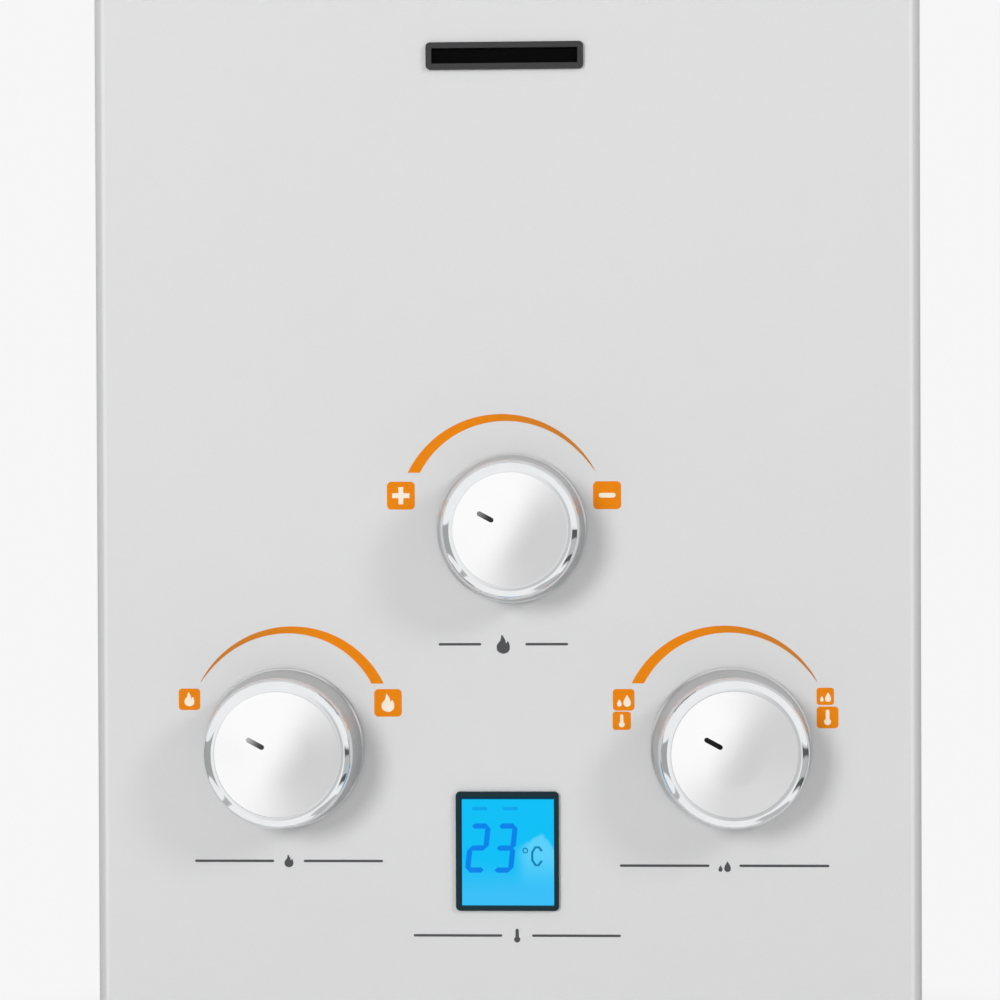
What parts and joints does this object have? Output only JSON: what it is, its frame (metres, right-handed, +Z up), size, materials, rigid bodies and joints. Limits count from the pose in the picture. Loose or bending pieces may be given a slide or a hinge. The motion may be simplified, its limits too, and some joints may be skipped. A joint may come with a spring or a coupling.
{
  "type": "tankless gas water heater",
  "caption": "Wall-hung tankless gas water heater: folded steel case, round control knobs, flame slot, lit temperature display, burner, finned exchanger and flue collar.",
  "frame": {"origin": "middle of the back plate's rear face, where the case meets the wall", "axes": "+X to the right seen from the front, +Y into the wall, +Z up"},
  "size_m": [0.304, 0.1899, 0.57],
  "materials": {
    "case_paint": "satin",
    "galvanised": "satin",
    "zinc_steel": "satin",
    "copper": "satin",
    "brass": "satin",
    "cast_aluminium": "matte",
    "stainless": "satin",
    "spindle_steel": "satin",
    "knob_chrome": "polished",
    "knob_satin": "satin",
    "bezel_dark": "satin",
    "slot_grey": "satin",
    "display_lit": "polished",
    "sight_glass": "polished",
    "mica": "satin",
    "black_plastic": "matte",
    "white_plastic": "matte",
    "red_plastic": "gloss",
    "insulator": "gloss",
    "seal_rubber": "matte",
    "loom_sleeve": "matte",
    "cell_wrap": "gloss"
  },
  "bodies": {
    "case": {"front_cover": "case_paint", "back_plate": "galvanised", "top_plate": "galvanised", "bottom_plate": "galvanised", "draught_hood": "galvanised", "flue_collar": "galvanised", "cover_screws": "zinc_steel", "support_brackets": "zinc_steel", "valve_bracket": "zinc_steel", "diaphragm_screws": "zinc_steel", "return_spring": "zinc_steel", "door_pin": "zinc_steel", "battery_contacts": "zinc_steel", "exchanger_shell": "copper", "exchanger_fins": "copper", "exchanger_tube": "copper", "gas_pipe": "copper", "cold_riser": "copper", "hot_pipe": "copper", "saver_valve": "brass", "injectors": "brass", "gas_inlet": "brass", "cold_inlet": "brass", "hot_outlet": "brass", "water_valve": "brass", "diaphragm_cover": "brass", "brass_nuts": "brass", "drain_valve": "brass", "gas_manifold": "cast_aluminium", "gas_valve": "cast_aluminium", "burner_frame": "stainless", "burner_bars": "stainless", "electrode_rods": "stainless", "display_bezel": "bezel_dark", "sight_bezel": "slot_grey", "display_window": "display_lit", "sight_pane": "sight_glass", "view_pane": "mica", "gas_solenoid": "black_plastic", "micro_switch": "black_plastic", "battery_box": "black_plastic", "overheat_switch": "black_plastic", "display_housing": "black_plastic", "ignition_box": "white_plastic", "electrode_insulators": "insulator", "diaphragm": "seal_rubber", "wire_loom": "loom_sleeve", "cells": "cell_wrap"},
    "gas_control": {"gas_knob": "knob_chrome", "gas_cap": "knob_satin", "gas_spindle": "spindle_steel"},
    "water_control": {"water_knob": "knob_chrome", "water_cap": "knob_satin", "water_spindle": "spindle_steel"},
    "saver_control": {"saver_knob": "knob_chrome", "saver_cap": "knob_satin", "saver_spindle": "spindle_steel"},
    "linkage": {"linkage_rod": "stainless"},
    "plunger": {"switch_plunger": "red_plastic"},
    "door": {"battery_door": "black_plastic"}
  },
  "joints": [
    {"name": "gas_turn", "type": "hinge", "parent": "case", "child": "gas_control", "pos_m": [-0.081, -0.165, -0.1395], "axis": [0, 1, 0], "range_deg": [0, 124]},
    {"name": "water_turn", "type": "hinge", "parent": "case", "child": "water_control", "pos_m": [0.081, -0.165, -0.1395], "axis": [0, 1, 0], "range_deg": [0, 124]},
    {"name": "saver_turn", "type": "hinge", "parent": "case", "child": "saver_control", "pos_m": [0.002, -0.165, -0.06], "axis": [0, 1, 0], "range_deg": [0, 124]},
    {"name": "linkage_slide", "type": "slide", "parent": "case", "child": "linkage", "axis": [-1, 0, 0], "range_m": [0, 0.005], "stiffness_N_per_m": 300, "springref_m": -0.01, "deforming": ["return_spring"]},
    {"name": "switch_press", "type": "slide", "parent": "case", "child": "plunger", "axis": [-1, 0, 0], "range_m": [0, 0.002]},
    {"name": "door_swing", "type": "hinge", "parent": "case", "child": "door", "pos_m": [0.0125, -0.0685, -0.2581], "axis": [1, 0, 0], "range_deg": [0, 110]}
  ],
  "couplings": [
    {"joint": "switch_press", "follows": "linkage_slide", "ratio": 0.4}
  ]
}
